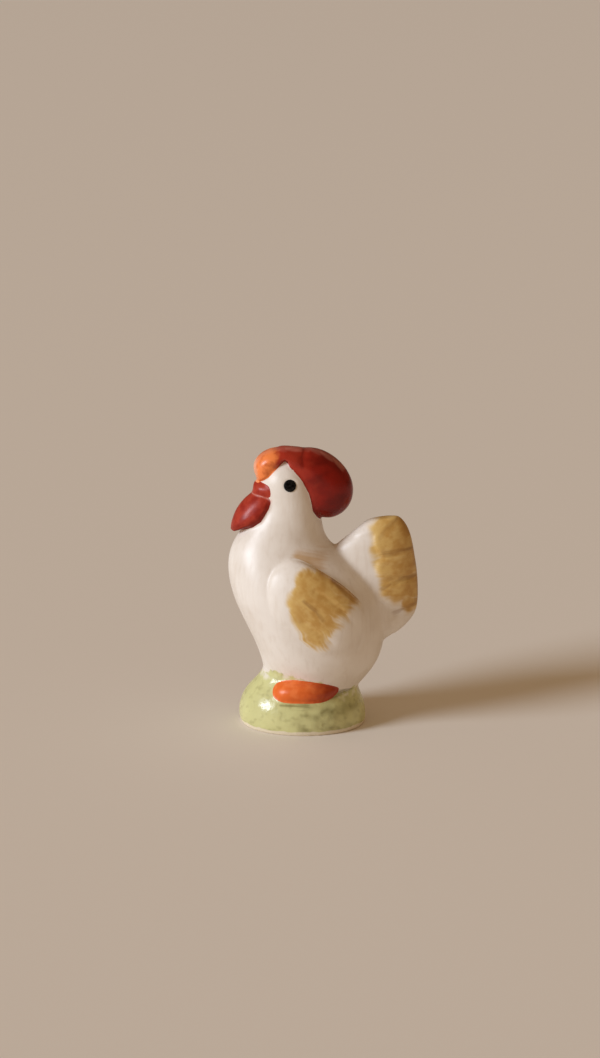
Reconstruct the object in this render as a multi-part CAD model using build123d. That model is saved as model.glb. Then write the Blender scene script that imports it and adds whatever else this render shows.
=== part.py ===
from build123d import *
import os

# A small glazed earthenware rooster standing on a green mound.
# Lengths are in millimetres. The ground is z = 0, the origin is the middle of
# the mound's underside, the beak points to -X and the tail to +X, and the
# plane y = 0 divides the bird into its left (-Y) and right (+Y) halves.

# Sizes of the hollow body casting: belly, breast, neck and head
body_length = 44.0
body_width = 31.0
body_height = 60.4
casting_wall = 3.0

# Sizes of the hollow mound under it. Its height is taken at the front.
mound_length = 35.8
mound_height = 16.6
mound_width = 28.4
mound_floor = 2.6
foot_ring_width = 3.2
foot_recess_depth = 0.8
vent_radius = 2.4

# The pieces laid on the body keep their proportion to it: each one's size in
# shares of the body's length, height and width. The widest feather's width is a
# share of its height, and the feathers' lip over the fan is one of its width.
comb_size_shares = (0.6364, 0.3311, 0.3871)
beak_size_shares = (0.1409, 0.0927, 0.3806)
wattle_size_shares = (0.2500, 0.1887, 0.4129)
wing_size_shares = (0.6455, 0.4901)
tail_size_shares = (0.5318, 0.6159, 0.3226)
feather_width_share = 0.2566
feather_lip_share = 0.0100

# Sizes of the creases and the eyes, and how far wings and feet stand out of the
# form that carries them and reach into it
comb_crease_width = 1.2
comb_crease_depth = 0.24
eye_radius = 1.7
eye_rise = 0.4
eye_depth = 0.3
wing_rise = 2.2
wing_depth = 2.3
plume_groove_width = 0.8
plume_groove_depth = 0.5
foot_length = 18.6
foot_height = 6.9
foot_rise = 2.0
foot_depth = 2.4

# One overrun serves every cut that has to pass right through
overrun = 5.0

# Every rounded form is a loft through egg-shaped sections. A section is strung
# between two points of the form's side outline and has a half width across Y.
# The rows of the body are: front x and z, back x and z and half width, in
# shares of the body's length, height and width, its height starting from the
# mound's front. The last is the widest point's place from front to back.
body_shares = [
    (-0.252, 0.001, 0.359, -0.091, 0.339, 0.50),
    (-0.273, 0.062, 0.461, 0.007, 0.419, 0.48),
    (-0.323, 0.156, 0.516, 0.114, 0.484, 0.45),
    (-0.393, 0.263, 0.523, 0.239, 0.500, 0.43),
    (-0.448, 0.370, 0.482, 0.363, 0.477, 0.42),
    (-0.470, 0.470, 0.375, 0.470, 0.416, 0.43),
    (-0.455, 0.561, 0.239, 0.556, 0.342, 0.46),
    (-0.395, 0.646, 0.148, 0.628, 0.284, 0.50),
    (-0.318, 0.722, 0.120, 0.707, 0.248, 0.52),
    (-0.274, 0.801, 0.102, 0.795, 0.232, 0.52),
    (-0.266, 0.878, 0.077, 0.878, 0.223, 0.52),
    (-0.223, 0.946, 0.023, 0.949, 0.171, 0.50),
    (-0.164, 0.994, -0.041, 0.995, 0.094, 0.50),
]

# The mound's rows are: how far up towards its joint with the body, and how far
# its outline has drawn in from the widest place to that joint.
mound_shares = [
    (0.00, 0.12),
    (0.10, 0.02),
    (0.28, 0.00),
    (0.48, 0.14),
    (0.66, 0.44),
    (0.82, 0.80),
    (0.93, 0.96),
    (1.00, 1.00),
]


def along(start, end, share):
    """The value that lies that share of the way from start to end."""
    return start + (end - start) * share


class Section:
    """An egg-shaped section strung from front to back, both (x, z), with its
    middle at y = side and a half width across Y."""

    def __init__(self, front, back, half_width, broad=0.5, side=0.0):
        self.front, self.back = front, back
        self.half_width, self.broad, self.side = half_width, broad, side
        run = Vector(back[0] - front[0], 0, back[1] - front[1])
        self.length = run.length
        self.way = run.normalized()

    def face(self):
        x, z = self.middle()
        plane = Plane(
            origin=(x, self.side, z),
            x_dir=self.way,
            z_dir=self.way.cross(Vector(0, 1, 0)),
        )
        fore = self.length * self.broad
        aft = self.length - fore
        front_half = EllipticalCenterArc((0, 0), fore, self.half_width, 90, arc_size=180)
        # The rear half is two arcs: with only two in all, a loft that turns
        # through a wide angle can join a section to the next one turned over.
        rear_left = EllipticalCenterArc((0, 0), aft, self.half_width, -90, arc_size=90)
        rear_right = EllipticalCenterArc((0, 0), aft, self.half_width, 0, arc_size=90)
        return plane * make_face([front_half, rear_left, rear_right])

    def inset(self, wall):
        """The same section drawn in by a wall all round."""
        shift = self.way * wall
        front = (self.front[0] + shift.X, self.front[1] + shift.Z)
        back = (self.back[0] - shift.X, self.back[1] - shift.Z)
        return Section(front, back, self.half_width - wall, self.broad, self.side)

    def trimmed(self, length_share, width_share):
        """The same section with a share of its length, from the front, and of
        its width."""
        back = [along(a, b, length_share) for a, b in zip(self.front, self.back)]
        return Section(self.front, back, self.half_width * width_share, self.broad, self.side)

    def middle(self):
        return [along(a, b, self.broad) for a, b in zip(self.front, self.back)]

    def height_at(self, x):
        share = (x - self.front[0]) / (self.back[0] - self.front[0])
        return along(self.front[1], self.back[1], share)

    def half_width_at(self, x):
        middle = along(self.front[0], self.back[0], self.broad)
        reach = (self.front[0] if x < middle else self.back[0]) - middle
        return self.half_width * max(0.0, 1 - ((x - middle) / reach) ** 2) ** 0.5


def lofted(sections):
    return loft([section.face() for section in sections])


def sized(shares):
    """A laid-on piece's length and height, and its width if that is given."""
    return [share * size for share, size in zip(shares, (body_length, body_height, body_width))]


def spot(place, x_share, z_share, length, height):
    """A point of the side view, in shares of a length and a height from place."""
    return (place[0] + x_share * length, place[1] + z_share * height)


def body_spot(x_share, z_share):
    """A place on the body's side view, from the same shares as its rows."""
    return spot((0, mound_height), x_share, z_share, body_length, body_height)


body_sections = [
    Section(
        body_spot(front_x, front_z),
        body_spot(back_x, back_z),
        half_width * body_width,
        broad,
    )
    for front_x, front_z, back_x, back_z, half_width, broad in body_shares
]
joint = body_sections[0]
mound_sections = [
    Section(
        (along(-mound_length / 2, joint.front[0], draw), rise * joint.front[1]),
        (along(mound_length / 2, joint.back[0], draw), rise * joint.back[1]),
        along(mound_width / 2, joint.half_width, draw),
        joint.broad,
    )
    for rise, draw in mound_shares
]

body_form = lofted(body_sections)
mound_form = lofted(mound_sections)


def flank(sections, x, z):
    """How far the surface lofted through sections stands from y = 0 there."""
    for low, high in zip(sections, sections[1:]):
        bottom, top = low.height_at(x), high.height_at(x)
        if bottom <= z <= top:
            share = (z - bottom) / (top - bottom)
            return along(low.half_width_at(x), high.half_width_at(x), share)
    return sections[-1].half_width_at(x)


def right_hand(piece):
    return mirror(piece, about=Plane.XZ)


def hollow(sections, wall):
    return lofted([section.inset(wall) for section in sections])


def left_eye_seat():
    """The flat that the left eye sits on, square to the cheek and sunk into it."""
    x, z = body_spot(-0.077, 0.884)

    def skin(aside, up):
        return Vector(x + aside, -flank(body_sections, x + aside, z + up), z + up)

    across = skin(eye_radius, 0) - skin(-eye_radius, 0)
    upward = skin(0, eye_radius) - skin(0, -eye_radius)
    cheek = Plane(origin=skin(0, 0), x_dir=across, z_dir=across.cross(upward))
    return cheek.offset(-eye_depth)


def build_body():
    cavity = hollow(body_sections[:-2], casting_wall)
    left_socket = left_eye_seat() * extrude(Circle(eye_radius), overrun)
    return body_form - cavity - left_socket - right_hand(left_socket)


def build_mound():
    cavity = hollow(mound_sections, casting_wall)
    below_floor = Box(mound_length, mound_width, 2 * mound_floor)
    foot = mound_sections[0].inset(foot_ring_width).face()
    recess = extrude(foot, foot_recess_depth)
    vent = Cylinder(vent_radius, 2 * (mound_floor + overrun))
    return mound_form - (cavity - below_floor) - recess - vent


def strung(rows, place, length, height, width):
    """Sections from rows of shares: front x and z, back x and z, half width."""
    return [
        Section(
            spot(place, front_x, front_z, length, height),
            spot(place, back_x, back_z, length, height),
            half_width * width,
        )
        for front_x, front_z, back_x, back_z, half_width in rows
    ]


def side_prism(points, place, length, height, width):
    """A block whose side view is the outline through the given points."""
    spots = [spot(place, x, z, length, height) for x, z in points]
    outline = Plane.XZ * make_face(Polyline(*spots, close=True))
    return extrude(outline, width / 2 + overrun, dir=(0, 1, 0), both=True)


def grooved(sections, lines, width, depth):
    """The form lofted through sections, with a groove sunk into its sides along
    each line. A line is an arc through three points of the side view."""
    form = lofted(sections)
    under_grooves = lofted([section.inset(depth) for section in sections])
    for line in lines:
        band = Plane.XZ * trace(ThreePointArc(*line), width)
        form -= extrude(band, body_width, dir=(0, 1, 0), both=True) - under_grooves
    return form


# Rows of the comb, from the forehead over the crown and down behind the neck,
# in shares of its length, height and width from the crown.
comb_shares = [
    (-0.215, -0.400, -0.336, -0.392, 0.26),
    (-0.075, -0.335, -0.318, -0.190, 0.37),
    (-0.057, -0.175, -0.248, 0.050, 0.42),
    (-0.018, -0.150, -0.082, 0.145, 0.42),
    (0.000, -0.155, 0.014, 0.152, 0.42),
    (0.018, -0.175, 0.110, 0.140, 0.43),
    (0.053, -0.310, 0.308, 0.115, 0.47),
    (0.075, -0.430, 0.515, -0.045, 0.49),
    (0.090, -0.555, 0.650, -0.340, 0.50),
    (0.143, -0.680, 0.645, -0.610, 0.46),
    (0.240, -0.775, 0.550, -0.785, 0.35),
    (0.325, -0.825, 0.450, -0.845, 0.16),
]
# The edge of the comb against the white face, from the beak round the crown
# to the neck, and then a loop that passes outside the comb.
comb_edge_shares = [
    (-0.420, -0.372),
    (-0.300, -0.372),
    (-0.282, -0.330),
    (-0.182, -0.225),
    (-0.104, -0.105),
    (-0.042, -0.020),
    (-0.008, 0.010),
    (0.025, -0.030),
    (0.085, -0.135),
    (0.175, -0.285),
    (0.238, -0.440),
    (0.268, -0.595),
    (0.280, -0.740),
    (0.330, -0.870),
    (0.500, -1.100),
    (0.900, -1.000),
    (0.900, 0.500),
    (-0.600, 0.500),
    (-0.600, -0.372),
]
# Two creases part the comb's three lobes, each an arc through three points.
comb_crease_shares = [
    ((-0.075, 0.194), (-0.097, 0.099), (-0.061, -0.001)),
    ((0.193, 0.179), (0.160, 0.069), (0.168, -0.071)),
]


def build_comb():
    crown = body_spot(-0.102, 0.994)
    size = sized(comb_size_shares)
    sections = strung(comb_shares, crown, *size)
    lines = [[spot(crown, *shares, *size[:2]) for shares in crease] for crease in comb_crease_shares]
    blank = grooved(sections, lines, comb_crease_width, comb_crease_depth)
    return (blank & side_prism(comb_edge_shares, crown, *size)) - body_form


# Rows of the upper beak, from the face out to its blunt tip.
beak_shares = [
    (0.077, 0.804, 0.077, -0.357, 0.50),
    (-0.326, 0.768, -0.294, -0.340, 0.46),
    (-0.648, 0.710, -0.640, -0.280, 0.38),
    (-0.880, 0.640, -0.885, -0.200, 0.28),
    (-0.990, 0.540, -1.015, -0.060, 0.17),
]
# The beak's outline on the face: brow, corner of the mouth and mouth line.
beak_edge_shares = [
    (-1.210, 0.640),
    (-0.890, 0.600),
    (-0.310, 0.482),
    (-0.215, -0.130),
    (-0.660, -0.010),
    (-1.210, 0.100),
]


def build_beak(comb):
    face = body_spot(-0.170, 0.827)
    size = sized(beak_size_shares)
    blank = lofted(strung(beak_shares, face, *size))
    return (blank & side_prism(beak_edge_shares, face, *size)) - body_form - comb


# Rows of the wattle, from under the beak down the throat to its tip.
wattle_shares = [
    (-0.064, 0.026, 0.627, -0.175, 0.36),
    (-0.282, -0.096, 0.718, -0.386, 0.46),
    (-0.491, -0.307, 0.673, -0.649, 0.50),
    (-0.636, -0.544, 0.355, -0.825, 0.48),
    (-0.718, -0.789, -0.009, -0.974, 0.39),
    (-0.736, -0.965, -0.418, -1.035, 0.22),
]
# The mouth line, then the wattle's edge against the white throat, and then a
# loop that passes outside the wattle.
wattle_edge_shares = [
    (-0.250, 0.010),
    (0.025, -0.041),
    (0.280, -0.105),
    (0.198, -0.324),
    (0.009, -0.623),
    (-0.191, -0.763),
    (-0.445, -0.877),
    (-0.682, -1.000),
    (-1.000, -1.200),
    (-1.100, -0.100),
    (-0.200, 0.100),
]


def build_wattle(beak):
    throat = body_spot(-0.270, 0.834)
    size = sized(wattle_size_shares)
    blank = lofted(strung(wattle_shares, throat, *size))
    edge = side_prism(wattle_edge_shares, throat, *size)
    return (blank & edge) - body_form - beak


def build_left_eye():
    """A round pellet with a low domed top that stands proud of the cheek."""
    pellet = extrude(Circle(eye_radius), eye_depth + eye_rise)
    ball_radius = (eye_radius**2 + eye_rise**2) / (2 * eye_rise)
    ball = Pos(0, 0, eye_depth + eye_rise - ball_radius) * Sphere(ball_radius)
    return left_eye_seat() * (pellet & ball)


# Rows of the wing, from its shoulder to its tip: upper x and z and lower x and
# z in shares of its length and height, and then how much of its full relief it has.
wing_shares = [
    (0.080, 0.897, 0.019, 0.772, 0.40),
    (0.180, 0.971, 0.003, 0.603, 0.76),
    (0.347, 0.985, 0.055, 0.440, 0.94),
    (0.532, 0.903, 0.194, 0.314, 1.00),
    (0.698, 0.803, 0.337, 0.177, 1.00),
    (0.842, 0.688, 0.493, 0.058, 0.97),
    (0.944, 0.550, 0.672, -0.003, 0.90),
    (0.996, 0.387, 0.828, 0.004, 0.72),
    (0.992, 0.249, 0.927, 0.102, 0.34),
]
# The plumes of the wing are parted by two long grooves, each an arc through
# three points in shares of the wing's length and height.
plume_groove_shares = [
    ((0.33, 0.47), (0.54, 0.33), (0.68, 0.22)),
    ((0.46, 0.75), (0.68, 0.62), (0.88, 0.39)),
]


def build_left_wing():
    place = body_spot(-0.239, 0.067)
    size = sized(wing_size_shares)
    sections = strung(wing_shares, place, *size, wing_rise + wing_depth)
    for section in sections:
        section.side = wing_depth - flank(body_sections, *section.middle())
    lines = [[spot(place, *shares, *size) for shares in groove] for groove in plume_groove_shares]
    return grooved(sections, lines, plume_groove_width, plume_groove_depth) - body_form


# Rows of the whole tail, from its root on the rump to its upper corner.
tail_shares = [
    (0.430, 0.000, 0.600, 0.020, 0.14),
    (0.370, 0.025, 0.740, 0.086, 0.30),
    (0.290, 0.075, 0.868, 0.152, 0.40),
    (0.190, 0.170, 0.968, 0.238, 0.48),
    (0.100, 0.290, 1.003, 0.320, 0.53),
    (0.020, 0.430, 1.006, 0.450, 0.55),
    (-0.030, 0.560, 0.989, 0.585, 0.55),
    (-0.050, 0.675, 0.960, 0.700, 0.52),
    (0.010, 0.760, 0.930, 0.800, 0.47),
    (0.150, 0.836, 0.888, 0.886, 0.40),
    (0.310, 0.918, 0.828, 0.951, 0.31),
    (0.490, 0.972, 0.745, 0.990, 0.17),
]
# The fan under the feathers has these shares of each row's length and width.
fan_shares = (0.95, 0.90)
# The tail feathers from top to bottom: root x and z, tip x and z in shares of
# the tail's length and height, and width in shares of the widest feather's.
# The tips lie beyond the tail's outline, which trims them.
feather_shares = [
    (0.238, 0.823, 0.827, 1.036, 0.64),
    (0.429, 0.734, 0.972, 0.867, 1.00),
    (0.402, 0.595, 1.061, 0.645, 0.82),
    (0.472, 0.393, 1.089, 0.458, 0.90),
    (0.594, 0.160, 1.057, 0.289, 0.74),
]
# A feather's rows: how far along it is, then its width and its thickness.
petal_shares = [
    (0.00, 0.30, 0.55),
    (0.12, 0.68, 0.85),
    (0.30, 0.92, 1.00),
    (0.50, 1.00, 1.00),
    (0.70, 1.00, 1.00),
    (0.85, 1.00, 1.00),
    (1.00, 0.95, 1.00),
]


def petal(root, tip, width, tail_sections):
    """A long feather between two places of the side view, whose middle line
    stands proud of the form lofted through the tail's sections."""
    run = Vector(tip[0] - root[0], 0, tip[1] - root[1])
    across = Vector(0, 1, 0).cross(run.normalized())
    sections = []
    for share, width_share, thickness_share in petal_shares:
        x, z = (along(a, b, share) for a, b in zip(root, tip))
        reach = across * (width_share * width / 2)
        ends = (x - reach.X, z - reach.Z), (x + reach.X, z + reach.Z)
        half_thickness = flank(tail_sections, x, z) + feather_lip_share * body_width
        sections.append(Section(*ends, thickness_share * half_thickness))
    return lofted(sections)


def build_tail():
    """The fan on the rump and the feathers luted over its edge, in order."""
    rump = body_spot(0.200, 0.108)
    size = sized(tail_size_shares)
    sections = strung(tail_shares, rump, *size)
    tail_form = lofted(sections)
    fan = lofted([section.trimmed(*fan_shares) for section in sections[:-1]]) - body_form
    feathers = []
    for root_x, root_z, tip_x, tip_z, breadth in feather_shares:
        root = spot(rump, root_x, root_z, *size[:2])
        tip = spot(rump, tip_x, tip_z, *size[:2])
        width = breadth * feather_width_share * body_height
        feather = petal(root, tip, width, sections) & tail_form
        for neighbour in [body_form, fan, *feathers]:
            feather -= neighbour
        feathers.append(feather)
    return fan, feathers


# Rows of a foot, from the toes back to the heel: lower x and z and upper x and
# z in shares of its length and height, and then its thickness.
foot_shares = [
    (0.000, 0.28, 0.000, 0.52, 0.40),
    (0.045, 0.10, 0.045, 0.74, 0.72),
    (0.180, 0.00, 0.180, 0.92, 0.95),
    (0.400, 0.00, 0.400, 1.00, 1.00),
    (0.620, 0.02, 0.620, 0.97, 1.00),
    (0.790, 0.10, 0.790, 0.89, 0.90),
    (0.920, 0.31, 0.920, 0.77, 0.68),
    (1.000, 0.52, 1.000, 0.65, 0.40),
]


def build_left_foot():
    place = spot((0, 0), -0.226, 0.492, mound_length, mound_height)
    sections = strung(foot_shares, place, foot_length, foot_height, foot_rise + foot_depth)
    for section in sections:
        section.side = foot_depth - flank(mound_sections, *section.middle())
    return lofted(sections) - mound_form - body_form


if __name__ == "__main__":
    os.makedirs("parts", exist_ok=True)
    comb = build_comb()
    beak = build_beak(comb)
    tail_fan, feathers = build_tail()
    pieces = {
        "body": build_body(),
        "mound": build_mound(),
        "comb": comb,
        "beak": beak,
        "wattle": build_wattle(beak),
        "left_eye": build_left_eye(),
        "left_wing": build_left_wing(),
        "left_foot": build_left_foot(),
        "tail_fan": tail_fan,
    }
    for name in ("eye", "wing", "foot"):
        pieces[f"right_{name}"] = right_hand(pieces[f"left_{name}"])
    for number, feather in enumerate(feathers, start=1):
        pieces[f"tail_feather_{number}"] = feather
    for name, piece in pieces.items():
        export_step(piece, f"parts/{name}.step")
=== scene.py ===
import math

import bpy
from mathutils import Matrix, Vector


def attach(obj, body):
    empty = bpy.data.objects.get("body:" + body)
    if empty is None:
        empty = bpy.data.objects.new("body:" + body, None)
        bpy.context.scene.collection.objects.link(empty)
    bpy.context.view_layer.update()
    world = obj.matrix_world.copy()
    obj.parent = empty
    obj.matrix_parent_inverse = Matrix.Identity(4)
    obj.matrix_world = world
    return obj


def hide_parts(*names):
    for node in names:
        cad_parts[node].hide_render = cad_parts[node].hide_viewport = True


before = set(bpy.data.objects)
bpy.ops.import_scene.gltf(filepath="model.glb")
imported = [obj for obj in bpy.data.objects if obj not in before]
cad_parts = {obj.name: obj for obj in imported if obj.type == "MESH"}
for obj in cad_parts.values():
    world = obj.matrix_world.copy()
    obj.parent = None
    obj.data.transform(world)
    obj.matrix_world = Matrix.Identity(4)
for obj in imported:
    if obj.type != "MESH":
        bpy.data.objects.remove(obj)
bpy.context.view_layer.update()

bl_info = {
    "name": "Glazed ceramic rooster",
    "version": (1, 0, 0),
    "blender": (4, 5, 0),
    "location": "3D View > Sidebar > Rooster",
    "description": "Dresses the cast rooster in its glazes and sets it in plain light",
    "category": "Object",
}

MM = 0.001

# The skin that the pieces are cut from, and its uncut copy that lends them its shading
SKIN = "fired_skin"
SHEEN = "glaze_surface"

# The joint of mound and body falls towards the tail: its front and rear ends in
# millimetres of the side view, and how far it falls on each millimetre
MOUND_FRONT = (-11.1, 16.66)
MOUND_REAR = (15.8, 11.15)
MOUND_FALL = 0.205

# Streaks that the hairs of a brush leave, in millimetres
HAIR_WIDTH = 0.7
HAIR_LENGTH = 9.0

# The brush is thin with water over these first millimetres of a table of strokes
WATERY_REACH = 6.0

# The floor's side in metres, the window's width in degrees and the way its light runs
FLOOR_SIZE = 160.0
WINDOW_WIDTH = 22
WINDOW_POWER = 2.75
WINDOW_RUN = (0.84, 0.42, -0.38)

# Light of the room, and how much of it is left where it shows in the gloss
ROOM_LIGHT = 0.34
ROOM_GLOSS = 0.12

# The camera's tilt in degrees, its lens in millimetres, and in pixels the height of the
# frame and how far the view is shifted right and up
CAMERA_TILT = 15.5
CAMERA_DISTANCE = 600 * MM
CAMERA_LENS = 72.885
AIM_HEIGHT = 40 * MM
FRAME_HEIGHT = 1058
FRAME_SHIFT = (-2.4, 56)


# Colours of the glazes and of the bare clay, as they look on a plain white card


def linear(code):
    """The linear colour of an sRGB hex value, with an alpha of 1."""
    channels = [int(code[place : place + 2], 16) / 255 for place in (1, 3, 5)]
    bent = [c / 12.92 if c <= 0.04045 else ((c + 0.055) / 1.055) ** 2.4 for c in channels]
    return (*bent, 1.0)


def colour_choice(name, code, description):
    """A colour that a user can pick."""
    return bpy.props.FloatVectorProperty(
        name=name, description=description, subtype="COLOR", size=4, min=0, max=1, default=linear(code)
    )


class RoosterForm(bpy.types.PropertyGroup):
    """Sizes that a user would change before the pieces are made."""

    grain: bpy.props.FloatProperty(
        name="Mesh grain",
        description="Width of the faces that the fired skin is made of",
        default=0.37 * MM,
        min=0.2 * MM,
        unit="LENGTH",
    )
    glaze_passes: bpy.props.IntProperty(
        name="Glaze softness",
        description="How many times the glaze levels every edge and groove",
        default=5,
        min=0,
    )
    slip_passes: bpy.props.IntProperty(
        name="Slip softness",
        description="How many more times the slip levels the joints that melt away",
        default=34,
        min=0,
    )
    reach: bpy.props.FloatProperty(
        name="Glaze reach",
        description="How far a laid-on piece's glaze runs into the corner at its edge",
        default=0.6 * MM,
        min=0,
        unit="LENGTH",
    )


class RoosterGlazes(bpy.types.PropertyGroup):
    """Colours of the glazes."""

    ivory: colour_choice("Ivory", "#EFE6DA", "White glaze over the whole bird")
    ivory_shade: colour_choice("Ivory, thin", "#E2D6C7", "White glaze where the clay shows through")
    ochre_light: colour_choice("Ochre, thin", "#DDB970", "Thin brushwork on wings and tail")
    ochre: colour_choice("Ochre", "#C4954C", "Full brushwork on wings and tail")
    # On the tail this dark ochre is also painted shade, in the feather grooves and on the rim
    ochre_dark: colour_choice("Ochre, pooled", "#8F6230", "Brushwork that has pooled in grooves")
    red: colour_choice("Comb red", "#8A1A0F", "Red glaze of the comb")
    red_light: colour_choice("Comb red, light", "#B63A25", "Red glaze where it thins towards the brow")
    # The dark red also serves as painted shade, in the comb's crease and along the wattle's lower edge
    red_dark: colour_choice("Comb red, pooled", "#5E0F09", "Red glaze where it is thick")
    # Along the comb's ridge this pale red is also painted highlight
    red_thin: colour_choice("Comb red, thin", "#D9907E", "Red glaze where it breaks over an edge")
    orange: colour_choice("Comb orange", "#F88A4A", "Orange glaze of the comb's front lobe")
    # Peach is painted highlight: on the brow of the comb's orange lobe and along the top of the feet
    peach_highlight: colour_choice("Comb peach", "#FFCBA4", "Orange glaze where it is thin over the brow")
    orange_dark: colour_choice("Comb orange, mixed", "#B04A20", "Orange glaze that has run into the red")
    brick: colour_choice("Brick red", "#AE3C2A", "Red glaze of beak and wattle")
    foot_orange: colour_choice("Foot orange", "#E66C2C", "Orange glaze of the feet")
    foot_red: colour_choice("Foot red", "#A83C1B", "Darker glaze at the heels")
    green: colour_choice("Mound green", "#D2CF92", "Green glaze of the mound")
    # Olive also serves as painted shadow under the feet and as painted shade towards the mound's rear
    olive: colour_choice("Mound olive", "#756B3B", "Green glaze where it is thick")
    bare_clay: colour_choice("Bare clay", "#E3D6BC", "Unglazed rim under the mound")
    black: colour_choice("Eye black", "#040303", "Black glaze of the eyes")


# Modelling helpers


def chosen(*objects):
    """Selects only these objects and makes the first one active."""
    bpy.ops.object.select_all(action="DESELECT")
    for item in objects:
        item.select_set(True)
    bpy.context.view_layer.objects.active = objects[0]
    return objects[0]


def merged_copy(nodes, name):
    """One new object from copies of CAD nodes, each with its loose triangles merged."""
    made = []
    for node in nodes:
        item = bpy.data.objects.new(name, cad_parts[node].data.copy())
        bpy.context.scene.collection.objects.link(item)
        item.data.materials.clear()
        chosen(item)
        bpy.ops.mesh.customdata_custom_splitnormals_clear()
        bpy.ops.object.mode_set(mode="EDIT")
        bpy.ops.mesh.select_all(action="SELECT")
        bpy.ops.mesh.remove_doubles(threshold=0.001 * MM)
        bpy.ops.object.mode_set(mode="OBJECT")
        made.append(item)
    chosen(*made)
    if len(made) > 1:
        bpy.ops.object.join()
    return bpy.context.view_layer.objects.active


def finished(item, kind, **settings):
    """Adds a modifier with these settings and applies it."""
    chosen(item)
    modifier = item.modifiers.new(kind, kind)
    for name, value in settings.items():
        setattr(modifier, name, value)
    bpy.ops.object.modifier_apply(modifier=modifier.name)
    return item


def cut(item, tool, operation):
    """Cuts or intersects a closed shape with another one."""
    return finished(item, "BOOLEAN", operation=operation, object=tool, solver="MANIFOLD")


def cleared(item):
    """Leaves only the largest closed shell, so no crumb of a cut stays behind."""
    chosen(item)
    bpy.ops.mesh.separate(type="LOOSE")
    shells = sorted(bpy.context.selected_objects, key=lambda shell: len(shell.data.vertices), reverse=True)
    for crumb in shells[1:]:
        bpy.data.objects.remove(crumb)
    return shells[0]


def skin_shaded(item):
    """Shades a cut piece like the uncut skin, so that light runs on over its joints."""
    chosen(item)
    bpy.ops.object.shade_smooth()
    finished(
        item,
        "DATA_TRANSFER",
        object=bpy.data.objects[SHEEN],
        use_loop_data=True,
        data_types_loops={"CUSTOM_NORMAL"},
        loop_mapping="POLYINTERP_NEAREST",
    )


def settled(item, name, node, material):
    """Names a finished piece and hands it to the frame in place of its CAD node."""
    item.name = item.data.name = name
    item.data.materials.clear()
    item.data.materials.append(material)
    skin_shaded(item)
    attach(item, "root")
    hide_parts(node)


def parted(name, node, neighbours, material):
    """Cuts the part of the fired skin that stands for a CAD node away from the rest."""
    form = bpy.context.scene.rooster_form
    skin = bpy.data.objects[SKIN]
    tool = merged_copy([node], "tool")
    finished(tool, "DISPLACE", strength=form.reach, mid_level=0)
    finished(tool, "REMESH", mode="VOXEL", voxel_size=form.grain)
    for neighbour in neighbours:
        block = merged_copy([neighbour], "block")
        cut(tool, block, "DIFFERENCE")
        bpy.data.objects.remove(block)
    piece = bpy.data.objects.new(name, skin.data.copy())
    bpy.context.scene.collection.objects.link(piece)
    cut(piece, tool, "INTERSECT")
    cut(skin, tool, "DIFFERENCE")
    bpy.data.objects.remove(tool)
    settled(cleared(piece), name, node, material)


# Material helpers


def add_node(tree, kind, inputs=None, **settings):
    """Adds a node with its settings, and sets or links its inputs."""
    made = tree.nodes.new("ShaderNode" + kind)
    for name, value in settings.items():
        setattr(made, name, value)
    for key, value in (inputs or {}).items():
        if isinstance(value, bpy.types.NodeSocket):
            tree.links.new(value, made.inputs[key])
        else:
            made.inputs[key].default_value = value
    return made


def mixed(tree, share, low, high):
    """A colour between low and high. Its sockets go by number, since the node has one set
    of them for each kind of value."""
    return add_node(tree, "Mix", {0: share, 6: low, 7: high}, data_type="RGBA").outputs[2]


def ranged(tree, value, start, end, low=0.0, high=1.0):
    """Goes softly from low to high while the value goes from start to end."""
    inputs = {0: value, 1: start, 2: end, 3: low, 4: high}
    return add_node(tree, "MapRange", inputs, interpolation_type="SMOOTHSTEP").outputs[0]


def reckoned(tree, operation, *values):
    """The result of one step of arithmetic on these values."""
    return add_node(tree, "Math", dict(enumerate(values)), operation=operation).outputs[0]


def mottle(tree, place, width, detail=2.0, seed=0.0):
    """Noise from 0 to 1 whose patches are about this wide, in millimetres."""
    moved = add_node(tree, "VectorMath", {0: place, 1: (seed, seed, seed)}, operation="ADD").outputs[0]
    return add_node(tree, "TexNoise", {"Vector": moved, "Scale": 1 / width, "Detail": detail}).outputs[0]


def places(tree):
    """A point's place in millimetres, and the same place seen square from the side."""
    coordinates = add_node(tree, "TexCoord").outputs["Object"]
    place = add_node(tree, "VectorMath", {0: coordinates, "Scale": 1 / MM}, operation="SCALE").outputs[0]
    side = add_node(tree, "VectorMath", {0: place, 1: (1, 0, 1)}, operation="MULTIPLY").outputs[0]
    return place, side


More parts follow.
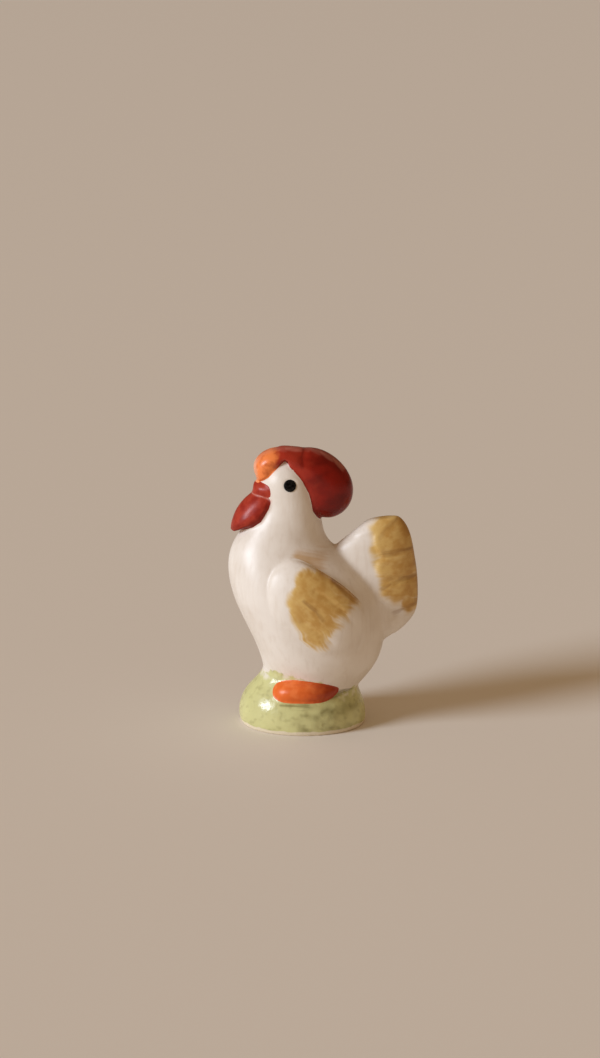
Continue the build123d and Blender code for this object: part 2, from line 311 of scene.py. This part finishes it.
def brush():
    """The node group of one brush stroke, seen from the side: how much paint lies on
    a point, with streaks of the hairs along it and an end that runs dry."""
    if "brush_stroke" in bpy.data.node_groups:
        return bpy.data.node_groups["brush_stroke"]
    tree = bpy.data.node_groups.new("brush_stroke", "ShaderNodeTree")
    for name, kind in (
        ("Place", "Vector"),
        ("Start", "Vector"),
        ("End", "Vector"),
        ("Width", "Float"),
        ("Soft", "Float"),
        ("Dry", "Float"),
    ):
        tree.interface.new_socket(name=name, in_out="INPUT", socket_type="NodeSocket" + kind)
    tree.interface.new_socket(name="Paint", in_out="OUTPUT", socket_type="NodeSocketFloat")
    source = tree.nodes.new("NodeGroupInput").outputs
    run, reach = (
        add_node(tree, "VectorMath", {0: source[name], 1: source["Start"]}, operation="SUBTRACT").outputs[0]
        for name in ("End", "Place")
    )
    shadow = add_node(tree, "VectorMath", {0: reach, 1: run}, operation="DOT_PRODUCT").outputs["Value"]
    square = add_node(tree, "VectorMath", {0: run, 1: run}, operation="DOT_PRODUCT").outputs["Value"]
    share = add_node(tree, "Math", {0: shadow, 1: square}, operation="DIVIDE", use_clamp=True).outputs[0]
    foot = add_node(tree, "VectorMath", {0: run, "Scale": share}, operation="SCALE").outputs[0]
    gap = add_node(tree, "VectorMath", {0: reach, 1: foot}, operation="DISTANCE").outputs["Value"]
    square_on = add_node(tree, "VectorMath", {0: run, 1: (0, 1, 0)}, operation="CROSS_PRODUCT").outputs[0]
    aside = add_node(tree, "VectorMath", {0: square_on}, operation="NORMALIZE").outputs[0]
    across = add_node(tree, "VectorMath", {0: reach, 1: aside}, operation="DOT_PRODUCT").outputs["Value"]
    length = add_node(tree, "VectorMath", {0: run}, operation="LENGTH").outputs["Value"]
    along = reckoned(tree, "DIVIDE", shadow, length)
    breadth = reckoned(tree, "DIVIDE", across, HAIR_WIDTH)
    course = reckoned(tree, "DIVIDE", along, HAIR_LENGTH)
    hair = add_node(tree, "CombineXYZ", {0: breadth, 1: course, 2: length}).outputs[0]
    streak = add_node(tree, "TexNoise", {"Vector": hair, "Scale": 1.0, "Detail": 1.0}).outputs[0]
    unrest = ranged(tree, streak, 0.25, 0.75, -1.0, 1.0)
    dry = reckoned(tree, "MULTIPLY", source["Dry"], ranged(tree, share, 0.0, 1.0, 0.25, 1.0))
    edge = reckoned(tree, "MULTIPLY_ADD", unrest, dry, gap)
    soft = reckoned(tree, "MULTIPLY", source["Soft"], ranged(tree, share, 0.2, 1.0, 0.7, 1.5))
    half = reckoned(tree, "DIVIDE", source["Width"], 2.0)
    outside = reckoned(tree, "ADD", half, soft)
    inside = reckoned(tree, "SUBTRACT", half, soft)
    cover = ranged(tree, edge, outside, inside)
    paint = reckoned(tree, "MULTIPLY", cover, ranged(tree, streak, 0.2, 0.8, 1.0, 0.82))
    sink = tree.nodes.new("NodeGroupOutput").inputs
    tree.links.new(paint, sink["Paint"])
    return tree


def stroked(tree, side, rows, soft=0.6, dry=1.0):
    """How much paint all strokes of a table lay on a point. A row is start x and z,
    end x and z and width, in millimetres of the side view."""
    paint = None
    for start_x, start_z, end_x, end_z, width in rows:
        inputs = {
            "Place": side,
            "Start": (start_x, 0, start_z),
            "End": (end_x, 0, end_z),
            "Width": width,
            "Soft": soft,
            "Dry": dry,
        }
        laid = add_node(tree, "Group", inputs, node_tree=brush()).outputs["Paint"]
        paint = laid if paint is None else reckoned(tree, "MAXIMUM", paint, laid)
    return paint


def joined_up(points, width):
    """Strokes from each point of a line to the next."""
    return [(*start, *end, width) for start, end in zip(points, points[1:])]


def new_material(name):
    """A new material and its empty node tree."""
    material = bpy.data.materials.new(name)
    material.use_nodes = True
    tree = material.node_tree
    tree.nodes.clear()
    return material, tree


def glazed(material, tree, place, colour, rough=0.35, wave=0.055, shine=0.45, bare=None):
    """Fired glaze: glass over clay, so a soft gloss whose surface waves a little.
    Where bare is given, the clay is left dull there."""
    wide = mottle(tree, place, 3.2, 1.0, seed=3.0)
    fine = mottle(tree, place, 0.9, 2.0, seed=11.0)
    height = reckoned(tree, "ADD", wide, reckoned(tree, "MULTIPLY", fine, 0.22))
    bump = add_node(tree, "Bump", {"Height": height, "Distance": wave * MM, "Strength": 1.0}).outputs[0]
    rough = ranged(tree, mottle(tree, place, 5.0, 2.0, seed=21.0), 0.3, 0.75, rough, rough + 0.08)
    if bare is not None:
        rough = reckoned(tree, "ADD", rough, reckoned(tree, "MULTIPLY", bare, 0.5))
    shader = add_node(
        tree,
        "BsdfPrincipled",
        {"Base Color": colour, "Roughness": rough, "Normal": bump, "IOR": 1.5, "Specular IOR Level": shine},
    )
    add_node(tree, "OutputMaterial", {"Surface": shader.outputs[0]})
    return material


# Where the colours lie, all in millimetres of the side view. Lines are points of x and
# z. Strokes and marks are rows of start x and z, end x and z, and width.

# The comb's ridge, painted pale: partly red glaze thin over the edge, partly painted highlight
COMB_RIDGE = [
    (-13.9, 72.2), (-13.2, 75.1), (-11.3, 77.7), (-8.1, 79.2), (-4.6, 79.4), (-0.7, 79.4), (1.6, 79.4),
    (5.0, 78.4), (8.4, 76.6), (11.3, 73.8),
]
COMB_EDGE = [
    (-12.2, 70.6), (-9.4, 73.0), (-7.2, 75.1), (-5.8, 76.5), (-4.8, 76.8), (-3.4, 75.7), (-0.7, 73.4),
    (1.5, 71.2), (3.2, 67.8), (3.7, 63.3), (5.7, 61.0),
]
# Painted shade: a dark line down the crease between the comb's lobes
COMB_CREASE_SHADE = [(0.4, 79.4), (-0.2, 77.6), (0.1, 75.2)]
# The wattle's lower edge: a pink blush on the white glaze below it, and painted shade on the wattle
WATTLE_EDGE = [(-8.7, 65.5), (-9.5, 63.2), (-11.6, 60.2), (-14.0, 58.6), (-18.5, 56.5)]
MOUTH_LINE = [(-14.4, 66.9), (-11.6, 66.5), (-8.6, 65.8)]
WING_STROKES = [
    (-0.4, 36.4, 4.2, 29.0, 6.4),
    (-0.2, 40.4, 6.4, 33.6, 7.6),
    (1.8, 44.2, 9.8, 38.4, 8.0),
    (4.8, 46.2, 14.0, 39.4, 4.0),
]
WING_DARK = [
    (8.4, 44.8, 15.2, 38.8, 0.8),
    (0.3, 40.0, 3.7, 37.1, 0.5),
    (3.7, 37.1, 5.6, 34.5, 0.5),
]
NECK_SMUDGE = [(-1.0, 50.6, 4.4, 49.2, 3.2)]
TAIL_STROKES = [
    (23.2, 56.2, 27.6, 58.0, 9.0),
    (23.8, 52.0, 31.0, 53.6, 9.4),
    (24.4, 47.0, 33.0, 47.2, 9.4),
    (26.0, 40.8, 33.6, 40.2, 9.4),
    (30.0, 35.6, 32.8, 35.0, 4.6),
]
# Brown lines along the tail's feather grooves, made darker as painted shade of the grooves
TAIL_GROOVE_BROWN_AND_SHADE = [
    (26.3, 59.6, 23.5, 57.4, 0.6),
    (23.5, 57.4, 21.3, 54.8, 0.4),
    (31.6, 51.2, 22.6, 50.3, 0.9),
    (31.6, 43.3, 27.7, 42.8, 0.9),
    (27.7, 42.8, 24.6, 41.6, 0.9),
    (24.6, 41.6, 22.4, 40.1, 0.6),
    (31.8, 35.3, 28.5, 34.2, 0.8),
    (28.5, 34.2, 25.6, 33.2, 0.5),
]
# Painted shade: the tail's rear rim, which turns away from the light
TAIL_RIM_SHADE = [(27.6, 60.4), (30.4, 56.0), (31.6, 51.5), (32.4, 46.8), (32.8, 40.5), (32.6, 36.0)]
# Painted shadow: olive under the foot's lower edge and its heel
MOUND_FOOT_SHADOW = [(6.6, 10.5, 13.4, 11.5, 1.6), (-6.0, 8.4, 1.4, 8.8, 0.3)]
# Painted highlight along the top edge of the feet
FOOT_HIGHLIGHT = [(-4.4, 16.0), (-1.0, 16.2), (2.2, 15.7)]


# Materials, each named for its glaze and built once


def ivory_colour(tree, place):
    """White glaze with faint clouds and upright brush marks."""
    glazes = bpy.context.scene.rooster_glazes
    upright = add_node(tree, "VectorMath", {0: place, 1: (1, 1, 0.16)}, operation="MULTIPLY").outputs[0]
    cloud = ranged(tree, mottle(tree, place, 9.0, 3.0, seed=2.0), 0.35, 0.75, 0.0, 0.7)
    marks = ranged(tree, mottle(tree, upright, 1.3, 2.0, seed=4.0), 0.45, 0.8, 0.0, 0.5)
    share = add_node(tree, "Math", {0: cloud, 1: marks}, operation="ADD", use_clamp=True).outputs[0]
    return mixed(tree, share, glazes.ivory, glazes.ivory_shade)


def green_colour(tree, place, over):
    """Copper green brushed on wet: yellow-green with olive clouds that grow towards the rear as painted
    shade, paler at its top.
    """
    glazes = bpy.context.scene.rooster_glazes
    stretch = add_node(tree, "VectorMath", {0: place, 1: (0.75, 0.75, 1.0)}, operation="MULTIPLY").outputs[0]
    cloud = ranged(tree, mottle(tree, stretch, 3.2, 1.0, seed=5.0), 0.32, 0.82)
    dab = ranged(tree, mottle(tree, stretch, 1.6, 1.0, seed=8.0), 0.5, 0.8, 0.0, 0.3)
    x = add_node(tree, "SeparateXYZ", {0: place}).outputs[0]
    # Olive clouds of thick glaze, growing towards the rear as painted shade of the side away from the window
    thick = reckoned(tree, "MULTIPLY", cloud, ranged(tree, x, -10.0, 5.0, 0.1, 0.6))
    share = add_node(tree, "Math", {0: thick, 1: dab}, operation="ADD", use_clamp=True).outputs[0]
    green = mixed(tree, share, glazes.green, glazes.olive)
    milky = ranged(tree, mottle(tree, place, 2.0, 2.0, seed=12.0), 0.42, 0.6)
    top = ranged(tree, over, -2.6, -0.2, 0.0, 0.75)
    return mixed(tree, reckoned(tree, "MULTIPLY", milky, top), green, glazes.ivory)


def above_green(tree, place):
    """A point's height over the wavy line where the white glaze begins."""
    x, _, z = add_node(tree, "SeparateXYZ", {0: place}).outputs
    # The line runs up to 1.5 mm over the joint of mound and body, and hangs under it at
    # the breast and by the heels
    height = reckoned(tree, "MULTIPLY_ADD", x, MOUND_FALL, z)
    front = ranged(tree, x, -11.2, -7.0, 13.5, 15.9)
    fall = ranged(tree, x, 5.0, 11.4, 0.0, -2.5)
    rear = ranged(tree, x, 11.8, 14.5, 0.0, 1.2)
    line = reckoned(tree, "ADD", reckoned(tree, "ADD", front, fall), rear)
    unrest = ranged(tree, mottle(tree, place, 2.2, 3.0, seed=31.0), 0.25, 0.75, -0.6, 0.6)
    return reckoned(tree, "ADD", reckoned(tree, "SUBTRACT", height, line), unrest)


def green_over(tree, place, colour):
    """The same colour with green below the line where the white glaze begins."""
    over = above_green(tree, place)
    return mixed(tree, ranged(tree, over, 0.35, -0.35), colour, green_colour(tree, place, over))


def cast_glaze():
    """White tin glaze of the casting, with the mound's green round its foot and a thin
    blush of red along comb and wattle."""
    material, tree = new_material("white_tin_glaze")
    glazes = bpy.context.scene.rooster_glazes
    place, side = places(tree)
    colour = ivory_colour(tree, place)
    smudge = reckoned(tree, "MULTIPLY", stroked(tree, side, NECK_SMUDGE, soft=1.6, dry=1.0), 0.75)
    colour = mixed(tree, smudge, colour, glazes.ochre)
    edges = joined_up(COMB_EDGE, 0.5) + joined_up(WATTLE_EDGE, 0.5)
    blush = stroked(tree, side, edges, soft=0.9, dry=0.4)
    colour = mixed(tree, reckoned(tree, "MULTIPLY", blush, 0.7), colour, glazes.red_thin)
    return glazed(material, tree, place, green_over(tree, place, colour))


def mound_glaze():
    """Green glaze wiped off the foot rim, which stays bare clay."""
    material, tree = new_material("green_copper_glaze")
    glazes = bpy.context.scene.rooster_glazes
    place, side = places(tree)
    colour = green_over(tree, place, ivory_colour(tree, place))
    # Painted shadow of the foot, in olive
    dark = reckoned(tree, "MULTIPLY", stroked(tree, side, MOUND_FOOT_SHADOW, soft=0.8, dry=0.9), 0.75)
    colour = mixed(tree, dark, colour, glazes.olive)
    z = add_node(tree, "SeparateXYZ", {0: place}).outputs[2]
    edge = reckoned(tree, "MULTIPLY_ADD", mottle(tree, place, 3.0, 2.0, seed=41.0), -1.1, z)
    bare = ranged(tree, edge, 0.9, 0.5)
    colour = mixed(tree, bare, colour, glazes.bare_clay)
    return glazed(material, tree, place, colour, rough=0.2, wave=0.26, shine=0.5, bare=bare)


def ochre_glaze(name, strokes, dark, begin, soft, rim=()):
    """White glaze with ochre brushed over it, with edges as soft as given. The strokes
    begin at the given x, thin with water."""
    material, tree = new_material(name)
    glazes = bpy.context.scene.rooster_glazes
    place, side = places(tree)
    # Waves about 3 mm long sway the strokes by up to 1.2 mm
    unrest = add_node(tree, "TexNoise", {"Vector": side, "Scale": 0.3, "Detail": 0.0}).outputs["Color"]
    shift = add_node(tree, "VectorMath", {0: unrest, 1: (0.5, 0.5, 0.5)}, operation="SUBTRACT").outputs[0]
    inputs = {0: shift, 1: (2.4, 0, 2.4), 2: side}
    moved = add_node(tree, "VectorMath", inputs, operation="MULTIPLY_ADD").outputs[0]
    paint = stroked(tree, moved, strokes, soft, dry=0.5)
    x = add_node(tree, "SeparateXYZ", {0: place}).outputs[0]
    cloud = ranged(tree, mottle(tree, side, 2.6, 3.0, seed=51.0), 0.3, 0.7, 0.5, 1.0)
    load = reckoned(tree, "MULTIPLY", cloud, ranged(tree, x, begin, begin + WATERY_REACH, 0.55, 1.0))
    thick = ranged(tree, reckoned(tree, "MULTIPLY", paint, load), 0.2, 0.95)
    colour = mixed(tree, ranged(tree, paint, 0.0, 0.95), ivory_colour(tree, place), glazes.ochre_light)
    colour = mixed(tree, thick, colour, glazes.ochre)
    # Darker ochre along the given lines: brown paint on the wings, and on the tail the brown of the grooves
    # deepened as painted shade
    pooled = reckoned(tree, "MULTIPLY", stroked(tree, side, dark, soft=0.7, dry=0.4), 0.65)
    # Painted shade along a rim that turns away from the light
    if rim:
        rim_shade = stroked(tree, side, joined_up(rim, 1.6), soft=0.8, dry=0.4)
        pooled = reckoned(tree, "MAXIMUM", pooled, reckoned(tree, "MULTIPLY", rim_shade, 0.6))
    colour = mixed(tree, pooled, colour, glazes.ochre_dark)
    return glazed(material, tree, place, colour)


def comb_glaze():
    """Iron red that runs to orange on the front lobe and breaks pale over edges, with painted highlight on
    the brow and along the ridge, and painted shade in a crease.
    """
    material, tree = new_material("red_iron_glaze")
    glazes = bpy.context.scene.rooster_glazes
    place, side = places(tree)
    x = add_node(tree, "SeparateXYZ", {0: place}).outputs[0]
    cloud = ranged(tree, mottle(tree, place, 4.5, 2.0, seed=61.0), 0.3, 0.75, 0.0, 0.75)
    red = mixed(tree, cloud, glazes.red, glazes.red_dark)
    patches = reckoned(tree, "MULTIPLY_ADD", mottle(tree, place, 3.4, 2.0, seed=63.0), 12.0, x)
    red = mixed(tree, ranged(tree, patches, 12.0, 1.0, 0.0, 0.7), red, glazes.red_light)
    # Painted shade in the crease, in the dark pooled red
    crease_shade = stroked(tree, side, joined_up(COMB_CREASE_SHADE, 0.5), soft=0.6, dry=0.3)
    red = mixed(tree, reckoned(tree, "MULTIPLY", crease_shade, 0.6), red, glazes.red_dark)
    patch = ranged(tree, mottle(tree, place, 2.2, 2.0, seed=67.0), 0.46, 0.7, 0.0, 0.55)
    orange = mixed(tree, patch, glazes.orange, glazes.orange_dark)
    # Painted highlight: peach over the front of the orange lobe, on the side the window lights
    brow = reckoned(tree, "MULTIPLY_ADD", mottle(tree, place, 1.8, 2.0, seed=69.0), 2.4, x)
    brow = ranged(tree, brow, -10.8, -12.6)
    orange = mixed(tree, reckoned(tree, "MULTIPLY", brow, 0.8), orange, glazes.peach_highlight)
    run = reckoned(tree, "MULTIPLY_ADD", mottle(tree, place, 2.2, 2.0, seed=71.0), 2.4, x)
    colour = mixed(tree, ranged(tree, run, -5.0, -7.0), red, orange)
    # Pale along the ridge: partly thin glaze, partly painted highlight
    thin = stroked(tree, side, joined_up(COMB_RIDGE, 0.4), soft=0.5, dry=0.3)
    colour = mixed(tree, reckoned(tree, "MULTIPLY", thin, 0.6), colour, glazes.red_thin)
    return glazed(material, tree, place, colour, rough=0.22, wave=0.07, shine=0.3)


def brick_glaze():
    """Brick-red glaze of beak and wattle, pale along the mouth where it is thin, and darker along the
    wattle's lower edge as painted shade.
    """
    material, tree = new_material("brick_red_glaze")
    glazes = bpy.context.scene.rooster_glazes
    place, side = places(tree)
    cloud = ranged(tree, mottle(tree, place, 2.6, 2.0, seed=81.0), 0.35, 0.7, 0.0, 0.7)
    colour = mixed(tree, cloud, glazes.brick, glazes.red)
    # Painted shade: darker along the wattle's lower edge, which turns under
    dark = stroked(tree, side, joined_up(WATTLE_EDGE, 1.6), soft=0.8, dry=0.6)
    colour = mixed(tree, reckoned(tree, "MULTIPLY", dark, 0.5), colour, glazes.red_dark)
    mouth = stroked(tree, side, joined_up(MOUTH_LINE, 0.3), soft=0.25, dry=0.15)
    colour = mixed(tree, reckoned(tree, "MULTIPLY", mouth, 0.6), colour, glazes.red_thin)
    return glazed(material, tree, place, colour, rough=0.3, wave=0.12, shine=0.2)


def foot_glaze():
    """Orange glaze on the feet, darker towards the heel, with a painted highlight along the top."""
    material, tree = new_material("orange_glaze")
    glazes = bpy.context.scene.rooster_glazes
    place, side = places(tree)
    x = add_node(tree, "SeparateXYZ", {0: place}).outputs[0]
    patch = ranged(tree, mottle(tree, place, 2.4, 2.0, seed=93.0), 0.45, 0.7, 0.0, 0.5)
    colour = mixed(tree, patch, glazes.foot_orange, glazes.orange)
    heel = reckoned(tree, "MULTIPLY_ADD", mottle(tree, place, 2.0, 2.0, seed=91.0), 7.0, x)
    colour = mixed(tree, ranged(tree, heel, 1.0, 13.0), colour, glazes.foot_red)
    # Painted highlight: a pale line along the foot's top edge, where the light catches it
    thin = stroked(tree, side, joined_up(FOOT_HIGHLIGHT, 0.3), soft=0.4, dry=0.8)
    colour = mixed(tree, reckoned(tree, "MULTIPLY", thin, 0.8), colour, glazes.peach_highlight)
    return glazed(material, tree, place, colour, rough=0.32, wave=0.14, shine=0.3)


def eye_glaze():
    """Black glaze, thick and smooth."""
    material, tree = new_material("black_manganese_glaze")
    glazes = bpy.context.scene.rooster_glazes
    place, _ = places(tree)
    soft = ranged(tree, mottle(tree, place, 0.7, 1.0, seed=95.0), 0.3, 0.8, 0.0, 0.02)
    colour = mixed(tree, soft, glazes.black, glazes.ivory)
    return glazed(material, tree, place, colour, rough=0.25, wave=0.02, shine=0.12)


# Zones where slip was worked over a joint until it melted away, in millimetres of
# the side view: start, end and width of each zone
SOFT_JOINTS = [
    (-6.6, 49.6, 4.8, 48.0, 6.0),
    (4.8, 48.0, 15.8, 38.0, 6.0),
    (15.8, 38.0, 17.4, 29.0, 6.0),
    (17.4, 29.0, 9.0, 22.6, 5.0),
    (3.0, 42.0, 14.0, 33.0, 4.0),
    (-1.0, 34.5, 9.0, 27.0, 4.0),
    (9.4, 55.0, 14.0, 46.0, 9.0),
    (14.0, 46.0, 19.5, 34.0, 7.0),
    (19.5, 34.0, 22.0, 28.0, 6.0),
    (-13.9, 70.2, -14.1, 66.6, 4.0),
    (-9.0, 64.5, -12.0, 59.6, 2.6),
    (-12.0, 59.6, -18.6, 56.4, 4.2),
    (-9.4, 79.6, -6.6, 77.8, 4.0),
    (0.6, 79.8, 0.4, 74.6, 4.0),
]


def joint_share(point):
    """How strongly the slip levels this point, from 0 to 1."""
    x, z = point.x / MM, point.z / MM
    most = 0.0
    for start_x, start_z, end_x, end_z, width in SOFT_JOINTS:
        run_x, run_z = end_x - start_x, end_z - start_z
        share = ((x - start_x) * run_x + (z - start_z) * run_z) / (run_x**2 + run_z**2)
        share = min(1.0, max(0.0, share))
        gap = math.hypot(x - start_x - share * run_x, z - start_z - share * run_z)
        most = max(most, 1.0 - gap / (width / 2))
    # The middle three eighths of a zone's width are levelled in full
    return min(1.0, 1.6 * most)


class ROOSTER_OT_fire_skin(bpy.types.Operator):
    """Joins all cast and laid-on forms in one fired skin, levelled by its glaze"""

    bl_idname = "rooster.fire_skin"
    bl_label = "Fire the skin"

    def execute(self, context):
        form = context.scene.rooster_form
        skin = merged_copy(sorted(set(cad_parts) - {"left_eye", "right_eye"}), SKIN)
        finished(skin, "REMESH", mode="VOXEL", voxel_size=form.grain)
        finished(skin, "SMOOTH", factor=0.5, iterations=form.glaze_passes)
        joints = skin.vertex_groups.new(name="joints")
        for vertex in skin.data.vertices:
            share = joint_share(vertex.co)
            if share > 0:
                joints.add([vertex.index], share, "REPLACE")
        finished(skin, "SMOOTH", factor=0.5, iterations=form.slip_passes, vertex_group="joints")
        skin.vertex_groups.clear()
        chosen(skin)
        bpy.ops.object.shade_smooth()
        sheen = bpy.data.objects.new(SHEEN, skin.data.copy())
        context.scene.collection.objects.link(sheen)
        return {"FINISHED"}


class ROOSTER_OT_part_comb(bpy.types.Operator):
    """Parts the comb from the skin and glazes it red and orange"""

    bl_idname = "rooster.part_comb"
    bl_label = "Comb"

    def execute(self, context):
        parted("comb_lobes", "comb", ["body", "beak"], comb_glaze())
        return {"FINISHED"}


class ROOSTER_OT_part_beak(bpy.types.Operator):
    """Parts the beak and the wattle from the skin and glazes them brick red"""

    bl_idname = "rooster.part_beak"
    bl_label = "Beak and wattle"

    def execute(self, context):
        glaze = brick_glaze()
        parted("upper_beak", "beak", ["body", "comb", "wattle"], glaze)
        parted("throat_lobe", "wattle", ["body", "beak"], glaze)
        return {"FINISHED"}


class ROOSTER_OT_part_wings(bpy.types.Operator):
    """Parts both wings from the skin and brushes ochre on them"""

    bl_idname = "rooster.part_wings"
    bl_label = "Wings"

    def execute(self, context):
        glaze = ochre_glaze("brushed_wing_glaze", WING_STROKES, WING_DARK, begin=-4.0, soft=1.6)
        for hand in ("left", "right"):
            parted(f"{hand}_wing_relief", f"{hand}_wing", ["body"], glaze)
        return {"FINISHED"}


class ROOSTER_OT_part_tail(bpy.types.Operator):
    """Parts the fan and its five feathers from the skin and brushes ochre on them"""

    bl_idname = "rooster.part_tail"
    bl_label = "Tail"

    def execute(self, context):
        glaze = ochre_glaze(
            "brushed_tail_glaze", TAIL_STROKES, TAIL_GROOVE_BROWN_AND_SHADE, begin=19.0, soft=2.4, rim=TAIL_RIM_SHADE
        )
        feathers = [f"tail_feather_{number}" for number in range(1, 6)]
        for number, feather in enumerate(feathers):
            beside = feathers[max(0, number - 1) : number] + feathers[number + 1 : number + 2]
            parted(f"plume_{number + 1}", feather, ["body", "tail_fan", *beside], glaze)
        parted("fan_plate", "tail_fan", ["body", *feathers], glaze)
        return {"FINISHED"}


class ROOSTER_OT_part_feet(bpy.types.Operator):
    """Parts both feet from the skin and glazes them orange"""

    bl_idname = "rooster.part_feet"
    bl_label = "Feet"

    def execute(self, context):
        glaze = foot_glaze()
        for hand in ("left", "right"):
            parted(f"{hand}_foot_roll", f"{hand}_foot", ["body", "mound"], glaze)
        return {"FINISHED"}


class ROOSTER_OT_part_mound(bpy.types.Operator):
    """Splits the skin where body and mound were cast on each other"""

    bl_idname = "rooster.part_mound"
    bl_label = "Mound and body"

    def execute(self, context):
        skin = bpy.data.objects[SKIN]
        front, rear = (Vector((x, 0, z)) * MM for x, z in (MOUND_FRONT, MOUND_REAR))
        fall = math.atan2(front.z - rear.z, rear.x - front.x)
        depth = 60 * MM
        middle = (front + rear) / 2 + Vector((-math.sin(fall), 0, -math.cos(fall))) * (depth / 2)
        bpy.ops.object.select_all(action="DESELECT")
        bpy.ops.mesh.primitive_cube_add(size=depth, location=middle, rotation=(0, fall, 0))
        block = bpy.context.view_layer.objects.active
        bpy.ops.object.transform_apply(location=True, rotation=True, scale=True)
        mound = bpy.data.objects.new("green_mound", skin.data.copy())
        context.scene.collection.objects.link(mound)
        cut(mound, block, "INTERSECT")
        cut(skin, block, "DIFFERENCE")
        bpy.data.objects.remove(block)
        settled(cleared(mound), "green_mound", "mound", mound_glaze())
        settled(cleared(skin), "cast_bird", "body", cast_glaze())
        bpy.data.objects.remove(bpy.data.objects[SHEEN])
        return {"FINISHED"}


class ROOSTER_OT_glaze_eyes(bpy.types.Operator):
    """Glazes both eyes black"""

    bl_idname = "rooster.glaze_eyes"
    bl_label = "Eyes"

    def execute(self, context):
        glaze = eye_glaze()
        for hand in ("left", "right"):
            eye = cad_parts[f"{hand}_eye"]
            eye.data.materials.clear()
            eye.data.materials.append(glaze)
        return {"FINISHED"}


class ROOSTER_OT_set_stage(bpy.types.Operator):
    """Sets a plain floor, a broad window in a dim room and a camera at the usual view"""

    bl_idname = "rooster.set_stage"
    bl_label = "Stage"

    def execute(self, context):
        scene = context.scene
        bpy.ops.object.select_all(action="DESELECT")
        bpy.ops.mesh.primitive_plane_add(size=FLOOR_SIZE)
        floor = bpy.context.view_layer.objects.active
        floor.name = "floor"
        material, tree = new_material("pale_floor")
        shade = add_node(tree, "BsdfPrincipled", {"Base Color": linear("#EAE2D6"), "Roughness": 0.8})
        add_node(tree, "OutputMaterial", {"Surface": shade.outputs[0]})
        floor.data.materials.append(material)

        world = bpy.data.worlds.new("studio")
        scene.world = world
        world.use_nodes = True
        tree = world.node_tree
        tree.nodes.clear()
        # The room fills the shadows, but its dim walls hardly show in the gloss
        gloss = add_node(tree, "LightPath").outputs["Is Glossy Ray"]
        power = ranged(tree, gloss, 0.0, 1.0, ROOM_LIGHT, ROOM_GLOSS)
        light = add_node(tree, "Background", {"Color": linear("#FFD8AC"), "Strength": power}).outputs[0]
        add_node(tree, "OutputWorld", {"Surface": light})

        # One broad window to the left, in front of the figure and above it
        window_data = bpy.data.lights.new("window", "SUN")
        window_data.energy = WINDOW_POWER
        window_data.angle = math.radians(WINDOW_WIDTH)
        window_data.color = linear("#E9F2FF")[:3]
        window = bpy.data.objects.new("window", window_data)
        window.rotation_euler = Vector(WINDOW_RUN).to_track_quat("-Z", "Y").to_euler()
        scene.collection.objects.link(window)

        # The camera looks down on the figure, which stands a little under the middle
        # of a frame that is taller than wide
        tilt = math.radians(CAMERA_TILT)
        camera_data = bpy.data.cameras.new("camera")
        camera_data.lens = CAMERA_LENS
        camera_data.sensor_width = 36
        camera_data.shift_x = FRAME_SHIFT[0] / FRAME_HEIGHT
        camera_data.shift_y = FRAME_SHIFT[1] / FRAME_HEIGHT
        camera_data.clip_start = 0.01
        camera_data.clip_end = 200.0
        camera = bpy.data.objects.new("camera", camera_data)
        target = Vector((0, 0, AIM_HEIGHT))
        camera.location = target + Vector((0, -math.cos(tilt), math.sin(tilt))) * CAMERA_DISTANCE
        camera.rotation_euler = (math.radians(90) - tilt, 0, 0)
        scene.collection.objects.link(camera)
        scene.camera = camera
        scene.view_settings.view_transform = "Standard"
        return {"FINISHED"}


OPERATORS = (
    ROOSTER_OT_fire_skin,
    ROOSTER_OT_part_comb,
    ROOSTER_OT_part_beak,
    ROOSTER_OT_part_wings,
    ROOSTER_OT_part_tail,
    ROOSTER_OT_part_feet,
    ROOSTER_OT_part_mound,
    ROOSTER_OT_glaze_eyes,
    ROOSTER_OT_set_stage,
)


class ROOSTER_PT_panel(bpy.types.Panel):
    """Lists the rooster's steps in the order they are done"""

    bl_label = "Rooster"
    bl_idname = "ROOSTER_PT_panel"
    bl_space_type = "VIEW_3D"
    bl_region_type = "UI"
    bl_category = "Rooster"

    def draw(self, context):
        for group in (context.scene.rooster_form, context.scene.rooster_glazes):
            for name in group.__annotations__:
                self.layout.prop(group, name)
        for step in OPERATORS:
            self.layout.operator(step.bl_idname)


CLASSES = (RoosterForm, RoosterGlazes, *OPERATORS, ROOSTER_PT_panel)


def register():
    for item in CLASSES:
        bpy.utils.register_class(item)
    bpy.types.Scene.rooster_form = bpy.props.PointerProperty(type=RoosterForm)
    bpy.types.Scene.rooster_glazes = bpy.props.PointerProperty(type=RoosterGlazes)


def unregister():
    del bpy.types.Scene.rooster_form
    del bpy.types.Scene.rooster_glazes
    for item in reversed(CLASSES):
        bpy.utils.unregister_class(item)


def main():
    register()
    for step in OPERATORS:
        group, name = step.bl_idname.split(".")
        getattr(getattr(bpy.ops, group), name)()


if __name__ == "__main__":
    main()
